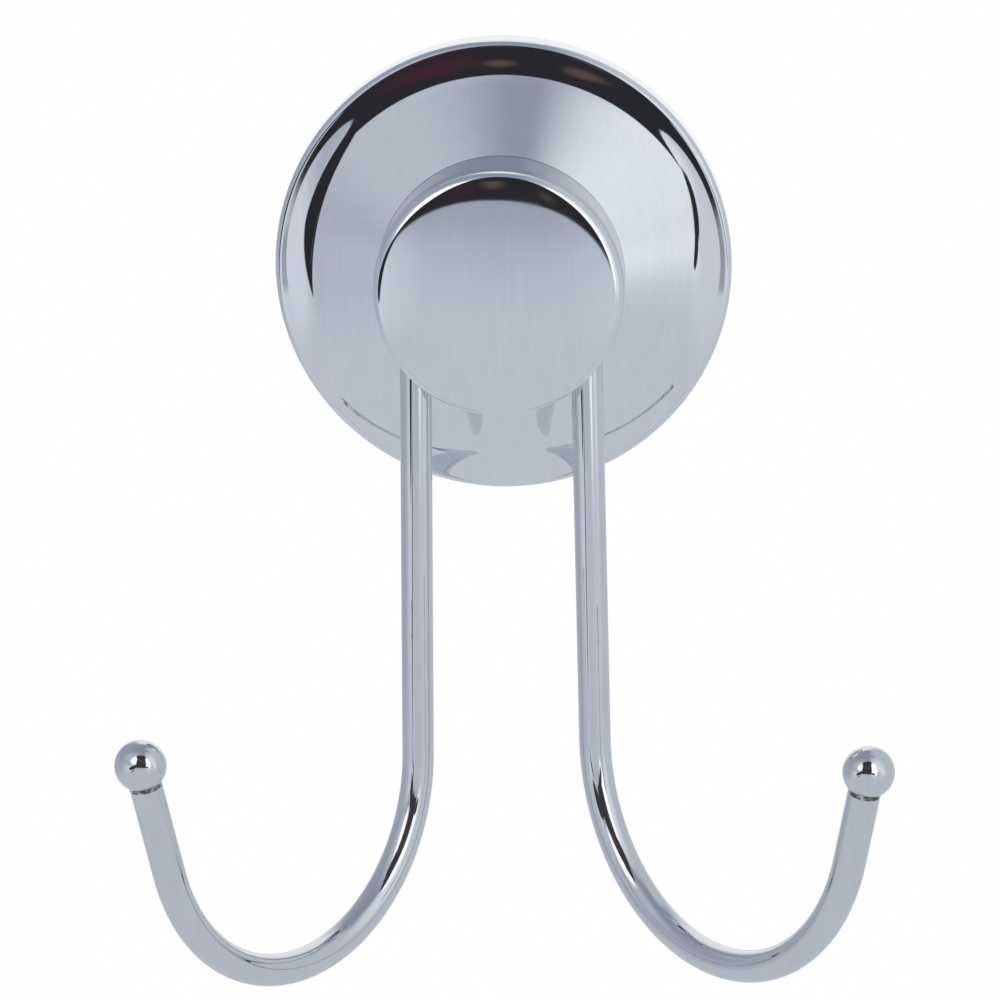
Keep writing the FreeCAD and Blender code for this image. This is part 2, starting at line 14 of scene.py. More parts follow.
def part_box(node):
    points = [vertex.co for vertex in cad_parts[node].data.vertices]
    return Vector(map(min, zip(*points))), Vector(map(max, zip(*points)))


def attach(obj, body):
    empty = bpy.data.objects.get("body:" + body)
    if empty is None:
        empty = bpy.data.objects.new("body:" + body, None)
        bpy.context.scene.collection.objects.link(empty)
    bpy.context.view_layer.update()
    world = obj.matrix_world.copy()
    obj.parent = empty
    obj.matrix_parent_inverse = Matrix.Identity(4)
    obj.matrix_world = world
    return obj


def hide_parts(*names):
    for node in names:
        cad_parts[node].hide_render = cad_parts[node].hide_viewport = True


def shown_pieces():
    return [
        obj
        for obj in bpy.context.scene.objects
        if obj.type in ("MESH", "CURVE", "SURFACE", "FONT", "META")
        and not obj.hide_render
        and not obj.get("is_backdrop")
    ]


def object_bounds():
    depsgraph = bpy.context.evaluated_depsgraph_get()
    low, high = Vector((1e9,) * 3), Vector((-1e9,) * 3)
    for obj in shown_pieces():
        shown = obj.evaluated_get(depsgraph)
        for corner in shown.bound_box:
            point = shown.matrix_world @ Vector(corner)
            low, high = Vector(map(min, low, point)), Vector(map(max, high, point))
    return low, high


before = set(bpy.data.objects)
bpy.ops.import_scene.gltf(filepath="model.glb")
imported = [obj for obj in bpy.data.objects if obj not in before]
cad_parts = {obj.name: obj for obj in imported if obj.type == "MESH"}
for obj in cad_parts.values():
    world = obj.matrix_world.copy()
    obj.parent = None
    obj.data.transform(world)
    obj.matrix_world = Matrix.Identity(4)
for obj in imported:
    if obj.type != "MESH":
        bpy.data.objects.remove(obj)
cad_low, cad_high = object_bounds()

bl_info = {
    "name": "Double robe hook",
    "version": (1, 0, 0),
    "blender": (4, 5, 0),
    "location": "3D View > Sidebar > Robe hook",
    "description": "Dresses the double robe hook and lights it",
    "category": "Object",
}

MM = 0.001
IMAGE_SIZE_PX = 1000
SENSOR_MM = 36.0

# fits and small roundings
RUNNING_GAP = 0.03 * MM
HAIRPIN_FROM_SEAT = 4.539 * MM
LEAST_ROUNDING = 0.1 * MM

# how finely the sections and the rod are divided
CAP_STEPS, BALL_STEPS, BRAZE_STEPS = 24, 48, 10
SHANK_STEPS, BEND_STEPS, TIP_STEPS, HAIRPIN_STEPS = 24, 96, 10, 64

# how many faces go once round each of these pieces
FLANGE_ROUND, CAP_ROUND, BALL_ROUND, ROD_ROUND = 360, 256, 96, 48

# how often the stretch that holds the centre of the cap's rounding is halved
HALVINGS = 60

# a length, a ring's radius and a turn under which they count as none
LEAST_LENGTH, LEAST_RING, LEAST_TURN = 1e-9, 1e-7, 1e-6

# the windows of the tents are brighter than white board, and the white wall behind the hook ends
# at these elevations, in degrees
WHITE = (1.0, 1.0, 1.0)
WINDOW_TONE = (1.4, 1.4, 1.4)
BACK_TOP, BALL_BACK_TOP = 84.0, 60.0

# how strongly the lights of the room tint the opening, and how much wider each next tent is
ROOM_STRENGTH = 0.9
TENT_STEP = 0.01

# faces of a tent and of the floor, and the reach of the camera
TENT_SEGMENTS, TENT_RINGS, FLOOR_SEGMENTS = 96, 48, 160
CLIP_START, CLIP_END = 0.05, 20.0

# darkest and palest level of the grain of the board and of plated steel
BOARD_LEVELS = (0.985, 1.015)
STEEL_DARK, STEEL_PALE = 0.72, 1.12


def node_radius(node):
    """Half the width of a round node."""
    low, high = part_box(node)
    return (high[0] - low[0]) / 2


def node_depths(node):
    """Nearest and farthest distance of a node from the wall."""
    low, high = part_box(node)
    return -high[1], -low[1]


FLANGE_RADIUS = node_radius("flange")
FLANGE_DEPTH = node_depths("flange")[1]
BOSS_RADIUS = node_radius("boss")
CAP_RADIUS = node_radius("cap")
CAP_DEPTHS = node_depths("cap")
BALL_RADIUS = node_radius("ball_left")


def length(name, description, default, lowest=0.0):
    """A size that a user can change."""
    return bpy.props.FloatProperty(
        name=name, description=description, default=default, min=lowest, precision=5,
        subtype="DISTANCE", unit="LENGTH")


def angle(name, description, default_degrees):
    """An angle that a user can change."""
    return bpy.props.FloatProperty(
        name=name, description=description, default=math.radians(default_degrees),
        subtype="ANGLE", unit="ROTATION")


def amount(name, description, default):
    """A plain number that a user can change."""
    return bpy.props.FloatProperty(name=name, description=description, default=default, precision=4)


def colour(name, description, default):
    """A linear colour that a user can change."""
    return bpy.props.FloatVectorProperty(
        name=name, description=description, default=default, size=3, min=0.0, max=1.0, subtype="COLOR")


def group_of(name, description, kind):
    """A set of values that a user can change."""
    return bpy.props.PointerProperty(name=name, description=description, type=kind)


class FlangeSizes(bpy.types.PropertyGroup):
    radius: length("Radius", "Outer radius of the skirt", FLANGE_RADIUS)
    wall: length("Wall", "Thickness of the spun metal", 1.0 * MM)
    skirt: length("Skirt", "Depth of the straight skirt", 5.63 * MM)
    shoulder: length("Shoulder", "Outer radius between skirt and brim", 1.3 * MM)
    hem: length("Hem", "Rounding of the edge that meets the wall", 0.25 * MM)
    brim: length("Brim", "Width of the brim", 4.4 * MM)
    brim_slope: angle("Brim slope", "Rise of the brim", 8.0)
    hollow: length("Hollow", "Radius of the sweep from brim to cone", 12.5 * MM)
    seat: length("Seat radius", "Radius of the flat that the boss stands on", BOSS_RADIUS + RUNNING_GAP)
    seat_edge: length("Seat edge", "Rounding between cone and seat", 0.15 * MM)
    seat_inside: length("Seat inside", "Rounding under the seat's edge", 0.4 * MM)
    depth: length("Depth", "Distance of the seat from the wall", FLANGE_DEPTH)


class CapSizes(bpy.types.PropertyGroup):
    lip: length("Lip radius", "Radius at the seam", CAP_RADIUS)
    draft: angle("Draft", "Taper of the side", 5.5)
    side: length("Side", "Depth of the side", 3.9 * MM)
    edge: length("Edge", "Rounding between side and face", 1.6 * MM)
    hem: length("Hem", "Rounding of the lip", 0.5 * MM)
    crown: length("Crown", "Rise of the face to its middle", 1.8 * MM)
    wall: length("Wall", "Thickness of the cap", 1.3 * MM)
    bore: length("Bore", "Inner radius that grips the boss", 18.53 * MM)


class WireSizes(bpy.types.PropertyGroup):
    radius: length("Rod radius", "Half the rod's diameter", 2.6 * MM)
    spacing: length("Spacing", "Distance between the shanks at the hairpin", 27.5 * MM)
    depth: length("Depth", "Distance of the hairpin's middle from the wall",
                  FLANGE_DEPTH + HAIRPIN_FROM_SEAT)
    lean: angle("Lean", "Forward lean of the shanks", 3.46)
    socket_rest: length("Socket rest", "Distance of the rod's end from the ball's middle", 1.5 * MM)
    braze: length("Braze", "Width of the braze fillet at a ball", 0.6 * MM)


class ArmSizes(bpy.types.PropertyGroup):
    side: bpy.props.IntProperty(name="Side", description="-1 for left, 1 for right", default=1)
    splay: angle("Splay", "Outward slope of the shank", 1.53)
    shank: length("Shank", "Length of the straight shank", 75.8 * MM)
    bend: length("Bend radius", "Radius of the hook's bend", 31.8 * MM)
    swing: angle("Swing", "Turn of the hook out of the wall's plane", 49.0)
    turn: angle("Turn", "Angle of the bend", 162.8)
    tip: length("Tip", "Straight length from the bend to the ball's middle", 15.95 * MM)


class ChromeFinish(bpy.types.PropertyGroup):
    tone: colour("Chrome", "Colour of polished chrome plate", (0.79, 0.805, 0.835))
    brushing: amount("Brushing", "Strength of the faint polishing streaks", 0.5)
    # painted shade: the rod's and balls' chrome is set darker than the plate's, standing in for the dimmer
    # reflections that the rod gets
    wire_tone_with_painted_shade: colour("Wire chrome with painted shade", "Chrome of the rod and balls, darkened as painted shade", (0.695, 0.71, 0.74))
    roughness: amount("Roughness", "Roughness of clean plate", 0.03)
    dulled: amount("Dulled", "Brightness of the plate under streaks and film", 0.93)
    film: amount("Film", "How much the handling film dulls the plate", 0.4)
    film_roughness: amount("Film roughness", "Roughness that the film adds", 0.035)
    hairline_roughness: amount("Hairline roughness", "Roughness that a hairline adds", 0.12)
    speck_roughness: amount("Speck roughness", "Roughness that a speck adds", 0.2)
    speck: colour("Speck", "Colour of the specks in the film", (0.5, 0.5, 0.5))
    wave_height: amount("Wave height", "Height of the waves left by polishing, in metres", 2.5e-6)
    scratch_depth: amount("Scratch depth", "Depth of the hairlines, in metres", 1.5e-6)
    zinc: colour("Zinc", "Colour of zinc-plated steel", (0.58, 0.59, 0.60))
    screw: colour("Screw steel", "Colour of the screws and washers", (0.66, 0.66, 0.65))
    braze: colour("Braze", "Tarnished braze metal under the plate", (0.11, 0.095, 0.08))


class StudioSettings(bpy.types.PropertyGroup):
    distance: length("Camera distance", "From the camera to the wall's plane", 1.0)
    azimuth: angle("Azimuth", "Camera's angle to the right", 2.22)
    elevation: angle("Elevation", "Camera's angle above the horizon", 14.46)
    focal_px: amount("Focal length", "Focal length in pixels of the picture", 5999.0)
    aim_x: length("Aim X", "How far right of the axis the picture's middle lies", -0.73 * MM, -1.0)
    aim_z: length("Aim Z", "How far above the axis the picture's middle lies", -41.04 * MM, -1.0)
    floor_drop: length("Floor", "Distance of the floor below the hook", 1.1)
    floor_radius: length("Floor radius", "Radius of the round floor", 1.5)
    tent_radius: length("Tent radius", "Radius of the light tent", 0.4)


class TentColours(bpy.types.PropertyGroup):
    wall: colour("Wall", "Walls of the light tent", (0.39, 0.42, 0.50))
    bright_wall: colour("Bright wall", "Wall on the right that the window lights", (0.90, 0.935, 0.97))
    right_wall: colour("Right wall", "Wall far to the right", (0.60, 0.65, 0.70))
    left_wall: colour("Left wall", "Paler part of the left wall", (0.565, 0.61, 0.68))
    left_shade: colour("Left shade", "Shaded board far to the left", (0.45, 0.485, 0.57))
    roof: colour("Roof", "Roof of the light tent", (0.32, 0.342, 0.44))
    table: colour("Table", "Pale board under the hook", (0.615, 0.65, 0.72))
    table_left: colour("Table left", "Board near the left window", (0.735, 0.78, 0.86))
    table_right: colour("Table right", "Board near the right window", (0.68, 0.715, 0.79))
    table_shade: colour("Table shade", "Board below the opening", (0.47, 0.515, 0.61))
    opening: colour("Opening", "Dark opening of the tent towards the room", (0.026, 0.026, 0.031))
    room_glow: colour("Room glow", "Faint warm light in the room beyond the opening", (0.12, 0.08, 0.07))
    room_red: colour("Room red", "Dim red light in the room beyond the opening", (0.07, 0.022, 0.035))


def settings():
    """The sizes and colours of this scene."""
    return bpy.context.scene.robe_hook


class RobeHookSettings(bpy.types.PropertyGroup):
    flange: group_of("Flange", "Sizes of the flange", FlangeSizes)
    cap: group_of("Cap", "Sizes of the cap", CapSizes)
    wire: group_of("Wire", "Sizes of the rod", WireSizes)
    left_arm: group_of("Left arm", "Sizes of the left arm", ArmSizes)
    right_arm: group_of("Right arm", "Sizes of the right arm", ArmSizes)
    finish: group_of("Finish", "Colours and gloss", ChromeFinish)
    studio: group_of("Studio", "Camera and floor", StudioSettings)
    tent: group_of("Tent", "Colours of the surroundings", TentColours)


# Outlines. A span is a list of stations: radius, depth, and the same two parts of the normal.

def line_span(start, end):
    """Straight stretch with the material on the left of its direction."""
    step = (end - start).normalized()
    normal = (step.y, -step.x)
    return [(start.x, start.y, *normal), (end.x, end.y, *normal)]


def arc_span(hub, radius, first, turn, steps, side=1):
    """Arc round a hub, by a turn from a first angle. A side of -1 turns its normals towards the hub."""
    span = []
    for step in range(steps + 1):
        way = first + turn * step / steps
        ray = Vector((math.cos(way), math.sin(way)))
        place = hub + ray * radius
        span.append((place.x, place.y, ray.x * side, ray.y * side))
    return span


def rounded_outline(corners, degrees_per_step=4.0):
    """Spans of a closed outline through corners (radius, depth, rounding), taken anticlockwise."""
    points = [Vector(corner[:2]) for corner in corners]
    starts, ends, arcs = [], [], []
    for index, (_, _, rounding) in enumerate(corners):
        here = points[index]
        into = (here - points[index - 1]).normalized()
        away = (points[(index + 1) % len(points)] - here).normalized()
        turn = math.atan2(into.x * away.y - into.y * away.x, into.dot(away))
        if rounding <= 0 or abs(turn) < LEAST_TURN:
            starts.append(here)
            ends.append(here)
            arcs.append(None)
            continue
        reach = rounding * math.tan(abs(turn) / 2)
        side = 1 if turn > 0 else -1
        begin = here - into * reach
        hub = begin + Vector((-into.y, into.x)) * rounding * side
        first = math.atan2(begin.y - hub.y, begin.x - hub.x)
        steps = max(2, math.ceil(math.degrees(abs(turn)) / degrees_per_step))
        starts.append(begin)
        ends.append(here + away * reach)
        arcs.append(arc_span(hub, rounding, first, turn, steps, side))
    spans = []
    for index in range(len(points)):
        if arcs[index]:
            spans.append(arcs[index])
        following = starts[(index + 1) % len(points)]
        if (following - ends[index]).length > LEAST_LENGTH:
            spans.append(line_span(ends[index], following))
    return spans


def finished_mesh(name, vertices, faces, normals, uvs):
    """Mesh with exact corner normals, and a map of the turn round it and the metres along it."""
    mesh = bpy.data.meshes.new(name)
    mesh.from_pydata(vertices, [], faces)
    mesh.polygons.foreach_set("use_smooth", [True] * len(mesh.polygons))
    layer = mesh.uv_layers.new(name="metres")
    layer.data.foreach_set("uv", [number for pair in uvs for number in pair])
    mesh.normals_split_custom_set(normals)
    mesh.update()
    piece = bpy.data.objects.new(name, mesh)
    bpy.context.scene.collection.objects.link(piece)
    return piece


def on_axis(radius):
    """Whether a place is too near the axis to need a ring."""
    return radius < LEAST_RING


def turned(name, spans, steps):
    """Piece turned about the axis that stands out of the wall."""
    vertices, faces, normals, uvs = [], [], [], []
    rings = {}

    def ring(radius, depth):
        key = (round(radius, 8), round(depth, 8))
        if key not in rings:
            first = len(vertices)
            turns = 1 if on_axis(radius) else steps
            for step in range(turns):
                way = 2 * math.pi * step / steps
                vertices.append((radius * math.cos(way), -depth, radius * math.sin(way)))
            rings[key] = first
        return rings[key]

    def corner(station, first, step, along):
        """Vertex, normal and map place of a station at a step round the axis."""
        way = 2 * math.pi * step / steps
        vertex = first if on_axis(station[0]) else first + step % steps
        normal = (station[2] * math.cos(way), -station[3], station[2] * math.sin(way))
        return vertex, normal, (way / (2 * math.pi), along)

    along = 0.0
    for span in spans:
        for low, high in zip(span, span[1:]):
            rise = math.hypot(high[0] - low[0], high[1] - low[1])
            if rise < LEAST_LENGTH or (on_axis(low[0]) and on_axis(high[0])):
                continue
            low_ring, high_ring = ring(*low[:2]), ring(*high[:2])
            for step in range(steps):
                corners = [corner(low, low_ring, step, along)]
                if not on_axis(low[0]):
                    corners.append(corner(low, low_ring, step + 1, along))
                corners.append(corner(high, high_ring, step + 1, along + rise))
                if not on_axis(high[0]):
                    corners.append(corner(high, high_ring, step, along + rise))
                faces.append([item[0] for item in corners])
                normals += [item[1] for item in corners]
                uvs += [item[2] for item in corners]
            along += rise
    return finished_mesh(name, vertices, faces, normals, uvs)


def swept(name, stations, radius, steps):
    """Round rod with flat ends along stations (place, direction), its frame carried without twist."""
    vertices, faces, normals, uvs = [], [], [], []
    side = stations[0][1].orthogonal().normalized()
    frames = []
    for place, way in stations:
        side = (side - way * side.dot(way)).normalized()
        frames.append((place, way, side, way.cross(side)))
    for place, way, side, other in frames:
        for step in range(steps):
            turn = 2 * math.pi * step / steps
            vertices.append(place + (side * math.cos(turn) + other * math.sin(turn)) * radius)

    def normal(index, step):
        turn = 2 * math.pi * step / steps
        return frames[index][2] * math.cos(turn) + frames[index][3] * math.sin(turn)

    along = 0.0
    for index in range(len(frames) - 1):
        rise = (frames[index + 1][0] - frames[index][0]).length
        for step in range(steps):
            corners = [(index, step, along), (index, step + 1, along)]
            corners += [(index + 1, step + 1, along + rise), (index + 1, step, along + rise)]
            faces.append([row * steps + turn % steps for row, turn, _ in corners])
            normals += [normal(row, turn) for row, turn, _ in corners]
            uvs += [(turn / steps, height) for _, turn, height in corners]
        along += rise
    last = (len(frames) - 1) * steps
    for loop, way in ((list(reversed(range(steps))), -frames[0][1]),
                      (list(range(last, last + steps)), frames[-1][1])):
        faces.append(loop)
        normals += [way] * steps
        uvs += [(0.0, 0.0)] * steps
    return finished_mesh(name, vertices, faces, normals, uvs)


# Pieces

def finish_piece(piece, material, slot, *nodes):
    """Give a piece its material and put it in the place of the nodes that it stands for."""
    piece.data.materials.append(material)
    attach(piece, "root")
    if nodes:
        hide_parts(*nodes)


def flange_corners(sizes):
    """Section of the bell: out along the skirt, brim, hollow and cone, and back inside."""
    foot_radius = sizes.radius - sizes.brim
    foot_depth = sizes.skirt + sizes.brim * math.tan(sizes.brim_slope)
    cone = math.atan2(sizes.depth - foot_depth, foot_radius - sizes.seat)
    wall = sizes.wall
    brim = sizes.brim_slope
    inner_radius = sizes.radius - wall

    def inner_corner(radius, depth, first, second):
        """Corner of the inside, a wall's thickness in from two outer slopes."""
        bisector = (first + second) / 2
        stretch = wall / math.cos((second - first) / 2)
        return radius - stretch * math.sin(bisector), depth - stretch * math.cos(bisector)

    seat_in = inner_corner(sizes.seat, sizes.depth, cone, 0.0)
    foot_in = inner_corner(foot_radius, foot_depth, brim, cone)
    shoulder_in = (inner_radius, sizes.skirt - wall / math.cos(brim) + wall * math.tan(brim))
    return [
        (inner_radius, 0.0, sizes.hem), (sizes.radius, 0.0, sizes.hem),
        (sizes.radius, sizes.skirt, sizes.shoulder), (foot_radius, foot_depth, sizes.hollow),
        (sizes.seat, sizes.depth, sizes.seat_edge), (0.0, sizes.depth, 0.0),
        (0.0, sizes.depth - wall, 0.0), (*seat_in, sizes.seat_inside), (*foot_in, sizes.hollow + wall),
        (*shoulder_in, max(sizes.shoulder - wall, LEAST_ROUNDING))]


class ROBE_OT_flange(bpy.types.Operator):
    """Spun bell that covers the wall bracket"""
    bl_idname = "robe.flange"
    bl_label = "Flange"

    def execute(self, context):
        piece = turned("flange_bell", rounded_outline(flange_corners(settings().flange)), FLANGE_ROUND)
        finish_piece(piece, chrome_material(), "polished_chrome", "flange")
        return {"FINISHED"}


def dress_node(name, material):
    """Give a piece that keeps its own mesh its material."""
    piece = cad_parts[name]
    if not piece.material_slots:
        piece.data.materials.append(material)
    for place in piece.material_slots:
        place.material = material


class ROBE_OT_boss(bpy.types.Operator):
    """Cast boss that holds the hairpin of the rod, with its bed and slots"""
    bl_idname = "robe.boss"
    bl_label = "Boss"

    def execute(self, context):
        dress_node("boss", cast_chrome_material())
        return {"FINISHED"}


def cap_spans(sizes):
    """Section of the cap with a crowned face that is one large arc."""
    lip, face = CAP_DEPTHS[0], CAP_DEPTHS[0] + sizes.side
    roof = face - sizes.wall
    rim = sizes.lip - sizes.side * math.tan(sizes.draft)
    crown = (rim ** 2 + sizes.crown ** 2) / (2 * sizes.crown)
    hub = Vector((0.0, face + sizes.crown - crown))
    outward = Vector((math.cos(sizes.draft), math.sin(sizes.draft)))
    climb = Vector((-outward.y, outward.x))

    # the rounding touches the drafted side and the crowned face
    side_foot = Vector((sizes.lip, lip)) - outward * sizes.edge
    low, high = 0.0, sizes.side * 1.2
    for _ in range(HALVINGS):
        middle = (low + high) / 2
        if (side_foot + climb * middle - hub).length < crown - sizes.edge:
            low = middle
        else:
            high = middle
    centre = side_foot + climb * low
    meeting = (centre - hub).normalized()
    first, last = math.atan2(outward.y, outward.x), math.atan2(meeting.y, meeting.x)
    hem_hub = Vector((sizes.lip - sizes.hem * (1 + outward.y) / outward.x, lip + sizes.hem))
    inner_lip, inner_roof = Vector((sizes.bore, lip)), Vector((sizes.bore, roof))
    return [
        line_span(inner_lip, Vector((hem_hub.x, lip))),
        arc_span(hem_hub, sizes.hem, -math.pi / 2, first + math.pi / 2, CAP_STEPS),
        line_span(hem_hub + outward * sizes.hem, centre + outward * sizes.edge),
        arc_span(centre, sizes.edge, first, last - first, CAP_STEPS),
        arc_span(hub, crown, last, math.pi / 2 - last, CAP_STEPS),
        line_span(Vector((0.0, roof)), inner_roof),
        line_span(inner_roof, inner_lip)]


class ROBE_OT_cap(bpy.types.Operator):
    """Crowned cap on the front of the boss"""
    bl_idname = "robe.cap"
    bl_label = "Cap"

    def execute(self, context):
        piece = turned("boss_cap", cap_spans(settings().cap), CAP_ROUND)
        finish_piece(piece, chrome_material(), "polished_chrome", "cap")
        return {"FINISHED"}


def arm_places(arm, wire):
    """Key places and directions of one arm, from the hairpin to the ball."""
    rise = Vector((0.0, math.sin(wire.lean), math.cos(wire.lean)))
    across = Vector((1.0, 0.0, 0.0))
    centre = Vector((0.0, -wire.depth, 0.0))
    radial = across * (arm.side * math.cos(arm.splay)) + rise * math.sin(arm.splay)
    down = across * (arm.side * math.sin(arm.splay)) - rise * math.cos(arm.splay)
    top = centre + radial * (wire.spacing / 2)
    foot = top + down * arm.shank
    outward = Vector((arm.side * math.cos(arm.swing), -math.sin(arm.swing), 0.0))
    outward = (outward - down * outward.dot(down)).normalized()
    hub = foot + outward * arm.bend
    tip_way = outward * math.sin(arm.turn) + down * math.cos(arm.turn)
    bend_end = hub - outward * (arm.bend * math.cos(arm.turn)) + down * (arm.bend * math.sin(arm.turn))
    return {"top": top, "down": down, "outward": outward, "hub": hub, "bend_end": bend_end,
            "tip_way": tip_way, "ball": bend_end + tip_way * arm.tip, "rise": rise, "centre": centre}


def arm_stations(arm, wire):
    """Stations of one arm from just after the hairpin to the rod's end in the ball."""
    places = arm_places(arm, wire)
    top, down, outward = places["top"], places["down"], places["outward"]
    bend_end, tip_way = places["bend_end"], places["tip_way"]
    stations = []
    for step in range(1, SHANK_STEPS):
        stations.append((top + down * (arm.shank * step / SHANK_STEPS), down))
    for step in range(BEND_STEPS + 1):
        turn = arm.turn * step / BEND_STEPS
        ray = down * math.sin(turn) - outward * math.cos(turn)
        way = outward * math.sin(turn) + down * math.cos(turn)
        stations.append((places["hub"] + ray * arm.bend, way))
    run = arm.tip - wire.socket_rest
    for step in range(1, TIP_STEPS + 1):
        stations.append((bend_end + tip_way * (run * step / TIP_STEPS), tip_way))
    return stations


def wire_stations():
    """Stations of the whole rod from the left ball to the right ball."""
    wire = settings().wire
    left, right = settings().left_arm, settings().right_arm
    places = arm_places(left, wire)
    rise, centre = places["rise"], places["centre"]
    across = Vector((1.0, 0.0, 0.0))
    first, last = math.pi - left.splay, right.splay
    stations = [(place, -way) for place, way in reversed(arm_stations(left, wire))]
    for step in range(HAIRPIN_STEPS + 1):
        turn = first + (last - first) * step / HAIRPIN_STEPS
        ray = across * math.cos(turn) + rise * math.sin(turn)
        way = across * math.sin(turn) - rise * math.cos(turn)
        stations.append((centre + ray * (wire.spacing / 2), way))
    return stations + arm_stations(right, wire)


def placed_turned(name, spans, place, way):
    """Turned piece whose depth axis points along a direction from a place."""
    piece = turned(name, spans, BALL_ROUND)
    turn = Vector((0.0, -1.0, 0.0)).rotation_difference(way).to_matrix().to_4x4()
    matrix = Matrix.Translation(place) @ turn
    mesh = piece.data
    normals = [turn.to_3x3() @ Vector(corner.vector) for corner in mesh.corner_normals]
    mesh.transform(matrix)
    mesh.normals_split_custom_set(normals)
    mesh.update()
    return piece


def ball_spans(wire):
    """Section of a ball with its blind socket. Depth zero is the ball's middle."""
    mouth = math.asin(wire.radius / BALL_RADIUS)
    arc = arc_span(Vector((0.0, 0.0)), BALL_RADIUS, mouth - math.pi / 2, math.pi - mouth, BALL_STEPS)
    bottom, wall = Vector((0.0, -wire.socket_rest)), Vector((wire.radius, -wire.socket_rest))
    return [line_span(bottom, wall), line_span(wall, Vector(arc[0][:2])), arc]


def braze_spans(wire):
    """Section of the small concave fillet of braze between rod and ball."""
    mouth = math.asin(wire.radius / BALL_RADIUS)
    root = Vector((wire.radius, -BALL_RADIUS * math.cos(mouth)))
    spread = mouth + wire.braze / BALL_RADIUS
    on_ball = Vector((BALL_RADIUS * math.sin(spread), -BALL_RADIUS * math.cos(spread)))
    on_rod = root + Vector((0.0, -wire.braze))
    curve = []
    for step in range(BRAZE_STEPS + 1):
        share = step / BRAZE_STEPS
        place = on_rod * (1 - share) ** 2 + root * (2 * share * (1 - share)) + on_ball * share ** 2
        way = (root - on_rod) * (1 - share) + (on_ball - root) * share
        way.normalize()
        curve.append((place.x, place.y, way.y, -way.x))
    return [curve, line_span(on_ball, root), line_span(root, on_rod)]


class ROBE_OT_hook_wire(bpy.types.Operator):
    """Bent rod from ball to ball"""
    bl_idname = "robe.hook_wire"
    bl_label = "Hook wire"

    def execute(self, context):
        piece = swept("bent_rod", wire_stations(), settings().wire.radius, ROD_ROUND)
        finish_piece(piece, chrome_wire_material(), "chrome_wire", "hook_wire")
        return {"FINISHED"}


class ROBE_OT_balls(bpy.types.Operator):
    """Balls on the rod's ends, with the braze that holds them"""
    bl_idname = "robe.balls"
    bl_label = "Balls"

    def execute(self, context):
        wire = settings().wire
        for side, arm in (("left", settings().left_arm), ("right", settings().right_arm)):
            places = arm_places(arm, wire)
            ball = placed_turned("tip_ball_" + side, ball_spans(wire), places["ball"], places["tip_way"])
            finish_piece(ball, chrome_wire_material(), "chrome_wire", "ball_" + side)
            braze = placed_turned("tip_braze_" + side, braze_spans(wire), places["ball"], places["tip_way"])
            finish_piece(braze, braze_material(), "chrome_wire")
        return {"FINISHED"}


class ROBE_OT_fixings(bpy.types.Operator):
    """Hidden steel pieces that keep their own meshes"""
    bl_idname = "robe.fixings"
    bl_label = "Fixings"

    def execute(self, context):
        for node in ("wall_bracket", "top_lug", "grub_bush", "wire_clamp"):
            dress_node(node, zinc_material())
        for node in ("grub_screw", "clamp_screw", "seat_screws", "seat_washers"):
            dress_node(node, screw_material())
        return {"FINISHED"}


# Materials

def feed(tree, socket, given):
    """Set a socket, or link it to the socket that is given."""
    if isinstance(given, bpy.types.NodeSocket):
        tree.links.new(given, socket)
    elif socket.type == "RGBA":
        socket.default_value = (*given, 1.0)
    else:
        socket.default_value = given


def fill(tree, node, **inputs):
    """Set or link a node's inputs by name."""
    for name, given in inputs.items():
        feed(tree, node.inputs[name.replace("_", " ").title()], given)
    return node


def add_node(tree, kind, **inputs):
    """New node with its inputs set or linked by name."""
    return fill(tree, tree.nodes.new(kind), **inputs)


def calculate(tree, operation, *values):
    """Math node on numbers or sockets."""
    node = tree.nodes.new("ShaderNodeMath")
    node.operation = operation
    for socket, given in zip(node.inputs, values):
        feed(tree, socket, given)
    return node.outputs[0]


def ramp(tree, given, low, high, low_value=0.0, high_value=1.0):
    """Smooth step of a value from one level to another."""
    node = add_node(tree, "ShaderNodeMapRange", value=given, from_min=low, from_max=high,
                    to_min=low_value, to_max=high_value)
    node.interpolation_type = "SMOOTHSTEP"
    return node.outputs["Result"]


def blend_colour(tree, share, first, second):
    """Mix of two colours, each a socket or a linear colour."""
    node = tree.nodes.new("ShaderNodeMix")
    node.data_type = "RGBA"
    low, high = [socket for socket in node.inputs if socket.type == "RGBA"]
    for socket, given in ((node.inputs[0], share), (low, first), (high, second)):
        feed(tree, socket, given)
    return next(socket for socket in node.outputs if socket.type == "RGBA")


def noise(tree, place, scale, detail=3.0, distortion=0.0):
    """Noise texture's value at a place."""
    node = add_node(tree, "ShaderNodeTexNoise", vector=place, scale=scale, detail=detail,
                    distortion=distortion)
    return node.outputs[0]


def shader_group(name, inputs, outputs):
    """Turn a function that fills a shader node group into one that builds it once and returns it.

    An input without a default is a place, and every other socket is a number.
    """
    def wrap(fill_group):
        def get_group():
            if name in bpy.data.node_groups:
                return bpy.data.node_groups[name]
            group = bpy.data.node_groups.new(name, "ShaderNodeTree")
            for label, default in inputs.items():
                kind = "NodeSocketVector" if default is None else "NodeSocketFloat"
                socket = group.interface.new_socket(label, in_out="INPUT", socket_type=kind)
                if default is not None:
                    socket.default_value = default
            for label in outputs:
                group.interface.new_socket(label, in_out="OUTPUT", socket_type="NodeSocketFloat")
            given = group.nodes.new("NodeGroupInput").outputs
            out = group.nodes.new("NodeGroupOutput").inputs
            fill_group(group, given, out)
            return group
        return get_group
    return wrap


def place_group(tree, group, **inputs):
    """Use a node group, with its inputs set or linked by name."""
    node = tree.nodes.new("ShaderNodeGroup")
    node.node_tree = group
    return fill(tree, node, **inputs)


def stretched(tree, place, x, y, z):
    """Place scaled along each axis."""
    node = tree.nodes.new("ShaderNodeVectorMath")
    node.operation = "MULTIPLY"
    tree.links.new(place, node.inputs[0])
    node.inputs[1].default_value = (x, y, z)
    return node.outputs[0]


